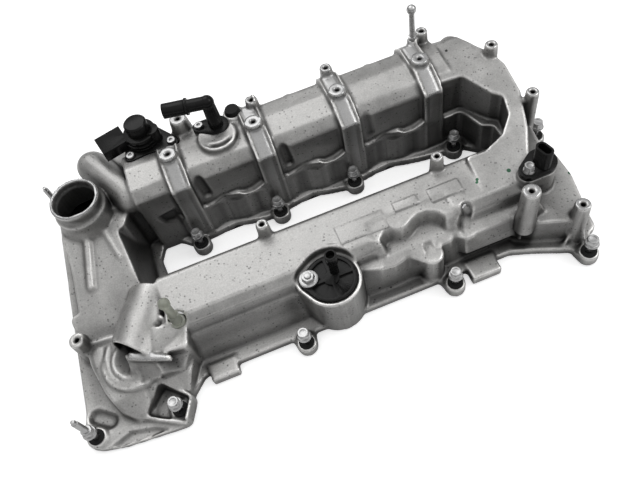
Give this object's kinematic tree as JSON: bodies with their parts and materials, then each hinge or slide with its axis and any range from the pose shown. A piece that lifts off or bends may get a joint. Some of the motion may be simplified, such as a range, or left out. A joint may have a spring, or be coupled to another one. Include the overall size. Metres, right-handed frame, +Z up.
{
  "type": "engine valve cover",
  "caption": "Die-cast camshaft cover with banded arms around a central plug slot, filler neck, vent valve, breather elbow, sensors, gaskets and captive bolts.",
  "frame": {"origin": "centre of the footprint, on the plane that the gaskets rest on", "axes": "+X along the arms from the filler neck to the sensor end, +Y to the rear arm, +Z up out of the engine"},
  "size_m": [0.5448, 0.3124, 0.1478],
  "materials": {
    "cast_aluminium": "as cast, speckled, faces machined bright",
    "black_rubber": "matte",
    "zinc_steel": "zinc plated, satin",
    "bright_steel": "turned",
    "milky_plastic": "translucent, greenish",
    "black_plastic": "glass-filled nylon, satin",
    "baffle_sheet": "pressed sheet"
  },
  "bodies": {
    "cover": {"casting": "cast_aluminium", "outer_gasket": "black_rubber", "slot_gasket": "black_rubber", "grommets": "black_rubber", "front_sensor_seal": "black_rubber", "right_sensor_seal": "black_rubber", "vent_valve_seal": "black_rubber", "elbow_seal": "black_rubber", "plug_cap": "black_rubber", "front_sensor_stud": "zinc_steel", "front_sensor_nut": "zinc_steel", "right_sensor_bolt": "zinc_steel", "vent_valve_screws": "zinc_steel", "elbow_screw": "zinc_steel", "baffle_screws": "zinc_steel", "ball_stud_rear": "bright_steel", "ball_stud_front": "milky_plastic", "front_sensor_body": "black_plastic", "right_sensor_body": "black_plastic", "vent_valve_body": "black_plastic", "vent_valve_cap": "black_plastic", "elbow_pipe": "black_plastic", "oil_baffle": "baffle_sheet"},
    "slot_bolt_1_body": {"slot_bolt_1": "zinc_steel"},
    "slot_bolt_2_body": {"slot_bolt_2": "zinc_steel"},
    "slot_bolt_3_body": {"slot_bolt_3": "zinc_steel"},
    "slot_bolt_4_body": {"slot_bolt_4": "zinc_steel"},
    "front_bolt_1_body": {"front_bolt_1": "zinc_steel"},
    "front_bolt_2_body": {"front_bolt_2": "zinc_steel"},
    "front_bolt_3_body": {"front_bolt_3": "zinc_steel"},
    "front_bolt_4_body": {"front_bolt_4": "zinc_steel"},
    "rear_bolt_1_body": {"rear_bolt_1": "zinc_steel"},
    "rear_bolt_2_body": {"rear_bolt_2": "zinc_steel"},
    "rear_bolt_3_body": {"rear_bolt_3": "zinc_steel"},
    "right_bolt_body": {"right_bolt": "zinc_steel"},
    "front_stud_bolt_body": {"front_stud_bolt": "zinc_steel"},
    "rear_stud_bolt_body": {"rear_stud_bolt": "zinc_steel"}
  },
  "joints": [
    {"name": "slot_bolt_1_slide", "type": "slide", "parent": "cover", "child": "slot_bolt_1_body", "axis": [0, 0, 1], "range_m": [-0.0125, 0]},
    {"name": "slot_bolt_2_slide", "type": "slide", "parent": "cover", "child": "slot_bolt_2_body", "axis": [0, 0, 1], "range_m": [-0.0125, 0]},
    {"name": "slot_bolt_3_slide", "type": "slide", "parent": "cover", "child": "slot_bolt_3_body", "axis": [0, 0, 1], "range_m": [-0.0125, 0]},
    {"name": "slot_bolt_4_slide", "type": "slide", "parent": "cover", "child": "slot_bolt_4_body", "axis": [0, 0, 1], "range_m": [-0.0125, 0]},
    {"name": "front_bolt_1_slide", "type": "slide", "parent": "cover", "child": "front_bolt_1_body", "axis": [0, 0, 1], "range_m": [-0.0125, 0]},
    {"name": "front_bolt_2_slide", "type": "slide", "parent": "cover", "child": "front_bolt_2_body", "axis": [0, 0, 1], "range_m": [-0.0125, 0]},
    {"name": "front_bolt_3_slide", "type": "slide", "parent": "cover", "child": "front_bolt_3_body", "axis": [0, 0, 1], "range_m": [-0.0125, 0]},
    {"name": "front_bolt_4_slide", "type": "slide", "parent": "cover", "child": "front_bolt_4_body", "axis": [0, 0, 1], "range_m": [-0.0125, 0]},
    {"name": "rear_bolt_1_slide", "type": "slide", "parent": "cover", "child": "rear_bolt_1_body", "axis": [0, 0, 1], "range_m": [-0.0125, 0]},
    {"name": "rear_bolt_2_slide", "type": "slide", "parent": "cover", "child": "rear_bolt_2_body", "axis": [0, 0, 1], "range_m": [-0.0125, 0]},
    {"name": "rear_bolt_3_slide", "type": "slide", "parent": "cover", "child": "rear_bolt_3_body", "axis": [0, 0, 1], "range_m": [-0.0125, 0]},
    {"name": "right_bolt_slide", "type": "slide", "parent": "cover", "child": "right_bolt_body", "axis": [0, 0, 1], "range_m": [-0.0125, 0]},
    {"name": "front_stud_bolt_slide", "type": "slide", "parent": "cover", "child": "front_stud_bolt_body", "axis": [0, 0, 1], "range_m": [-0.0125, 0]},
    {"name": "rear_stud_bolt_slide", "type": "slide", "parent": "cover", "child": "rear_stud_bolt_body", "axis": [0, 0, 1], "range_m": [-0.0125, 0]}
  ]
}
